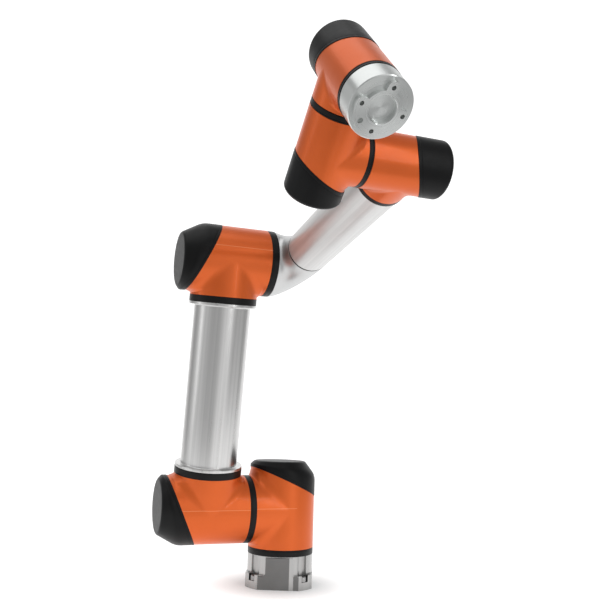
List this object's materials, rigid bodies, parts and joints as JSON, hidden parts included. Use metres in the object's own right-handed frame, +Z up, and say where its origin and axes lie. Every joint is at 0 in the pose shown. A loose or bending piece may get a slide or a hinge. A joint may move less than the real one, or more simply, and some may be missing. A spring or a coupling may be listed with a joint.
{
  "type": "collaborative robot arm",
  "caption": "Jointed robot arm: cast T-shaped joint housings with slanted covers, seal rings, two tube links, a curved elbow, a bolt-down base and a tool flange.",
  "frame": {"origin": "centre of the base bolt circle on the underside of the foot", "axes": "+Z up along the first joint axis, -Y towards the viewer and the flat panel of the base"},
  "size_m": [0.4265, 0.6624, 0.7201],
  "materials": {
    "paint_orange": "semi gloss",
    "cover_black": "satin",
    "seal_rubber": "matt",
    "ring_black": "satin",
    "drive_steel": "ground",
    "gear_steel": "ground",
    "winding": "lacquered copper",
    "rotor_steel": "ground",
    "board": "solder mask",
    "machined_aluminium": "machined",
    "tube_aluminium": "brushed along the tube",
    "plug_black": "satin",
    "cast_aluminium": "polished casting"
  },
  "bodies": {
    "base": {"base_pedestal": "machined_aluminium", "base_connector": "plug_black", "j1_seal_ring": "seal_rubber", "j1_output_hub": "drive_steel"},
    "shoulder": {"j1_housing": "paint_orange", "j1_cover": "cover_black", "j1_gear_ring": "gear_steel", "j1_motor_stator": "winding", "j1_drive_board": "board", "j2_seal_ring": "seal_rubber", "j2_output_hub": "drive_steel"},
    "upper_arm": {"j2_housing": "paint_orange", "j2_cover": "cover_black", "j2_gear_ring": "gear_steel", "j2_motor_stator": "winding", "j2_drive_board": "board", "tube_ring_low": "ring_black", "upper_arm_tube": "tube_aluminium", "tube_ring_high": "ring_black", "j3_housing": "paint_orange", "j3_cover": "cover_black", "j3_gear_ring": "gear_steel", "j3_motor_stator": "winding", "j3_drive_board": "board"},
    "forearm": {"j3_seal_ring": "seal_rubber", "j3_output_hub": "drive_steel", "elbow_casting": "cast_aluminium", "elbow_gasket": "ring_black", "forearm_tube": "tube_aluminium", "forearm_ring": "ring_black", "j4_housing": "paint_orange", "j4_cover": "cover_black", "j4_gear_ring": "gear_steel", "j4_motor_stator": "winding", "j4_drive_board": "board"},
    "wrist_1": {"j4_seal_ring": "seal_rubber", "j4_output_hub": "drive_steel", "j5_housing": "paint_orange", "j5_cover": "cover_black", "j5_gear_ring": "gear_steel", "j5_motor_stator": "winding", "j5_drive_board": "board"},
    "wrist_2": {"j5_seal_ring": "seal_rubber", "j5_output_hub": "drive_steel", "j6_housing": "paint_orange", "j6_cover": "cover_black", "j6_gear_ring": "gear_steel", "j6_motor_stator": "winding", "j6_drive_board": "board"},
    "tool": {"j6_seal_ring": "seal_rubber", "tool_flange": "machined_aluminium"},
    "j1_rotor": {"j1_motor_rotor": "rotor_steel"},
    "j2_rotor": {"j2_motor_rotor": "rotor_steel"},
    "j3_rotor": {"j3_motor_rotor": "rotor_steel"},
    "j4_rotor": {"j4_motor_rotor": "rotor_steel"},
    "j5_rotor": {"j5_motor_rotor": "rotor_steel"},
    "j6_rotor": {"j6_motor_rotor": "rotor_steel"}
  },
  "joints": [
    {"name": "j1_base_turn", "type": "hinge", "parent": "base", "child": "shoulder", "pos_m": [0, 0, 0.1218], "axis": [0, 0, 1], "range_deg": [-175, 175]},
    {"name": "j2_shoulder_swing", "type": "hinge", "parent": "shoulder", "child": "upper_arm", "pos_m": [-0.12359, -0.04994, 0.1218], "axis": [0.9272, 0.3746, 0], "range_deg": [-175, 175]},
    {"name": "j3_elbow_swing", "type": "hinge", "parent": "upper_arm", "child": "forearm", "pos_m": [-0.09744, -0.11466, 0.52378], "axis": [0.9272, 0.3746, 0], "range_deg": [-175, 70]},
    {"name": "j4_wrist_pitch", "type": "hinge", "parent": "forearm", "child": "wrist_1", "pos_m": [0.1472, -0.41586, 0.58541], "axis": [0.9272, 0.3746, 0], "range_deg": [-175, 175]},
    {"name": "j5_wrist_yaw", "type": "hinge", "parent": "wrist_1", "child": "wrist_2", "pos_m": [0.05838, -0.45175, 0.58541], "axis": [0.2785, -0.6894, 0.6687], "range_deg": [-175, 175]},
    {"name": "j6_tool_turn", "type": "hinge", "parent": "wrist_2", "child": "tool", "pos_m": [0.08673, -0.52193, 0.65348], "axis": [0.2898, -0.6035, -0.7428], "range_deg": [-175, 175]},
    {"name": "j1_motor_spin", "type": "hinge", "parent": "shoulder", "child": "j1_rotor", "pos_m": [0, 0, 0.1218], "axis": [0, 0, 1], "continuous": true},
    {"name": "j2_motor_spin", "type": "hinge", "parent": "upper_arm", "child": "j2_rotor", "pos_m": [-0.12359, -0.04994, 0.1218], "axis": [0.9272, 0.3746, 0], "continuous": true},
    {"name": "j3_motor_spin", "type": "hinge", "parent": "upper_arm", "child": "j3_rotor", "pos_m": [-0.09744, -0.11466, 0.52378], "axis": [0.9272, 0.3746, 0], "continuous": true},
    {"name": "j4_motor_spin", "type": "hinge", "parent": "forearm", "child": "j4_rotor", "pos_m": [0.1472, -0.41586, 0.58541], "axis": [0.9272, 0.3746, 0], "continuous": true},
    {"name": "j5_motor_spin", "type": "hinge", "parent": "wrist_1", "child": "j5_rotor", "pos_m": [0.05838, -0.45175, 0.58541], "axis": [0.2785, -0.6894, 0.6687], "continuous": true},
    {"name": "j6_motor_spin", "type": "hinge", "parent": "wrist_2", "child": "j6_rotor", "pos_m": [0.08673, -0.52193, 0.65348], "axis": [0.2898, -0.6035, -0.7428], "continuous": true}
  ],
  "couplings": [
    {"joint": "j1_motor_spin", "follows": "j1_base_turn", "ratio": 100},
    {"joint": "j2_motor_spin", "follows": "j2_shoulder_swing", "ratio": 100},
    {"joint": "j3_motor_spin", "follows": "j3_elbow_swing", "ratio": -100},
    {"joint": "j4_motor_spin", "follows": "j4_wrist_pitch", "ratio": -100},
    {"joint": "j5_motor_spin", "follows": "j5_wrist_yaw", "ratio": -100},
    {"joint": "j6_motor_spin", "follows": "j6_tool_turn", "ratio": -100}
  ]
}
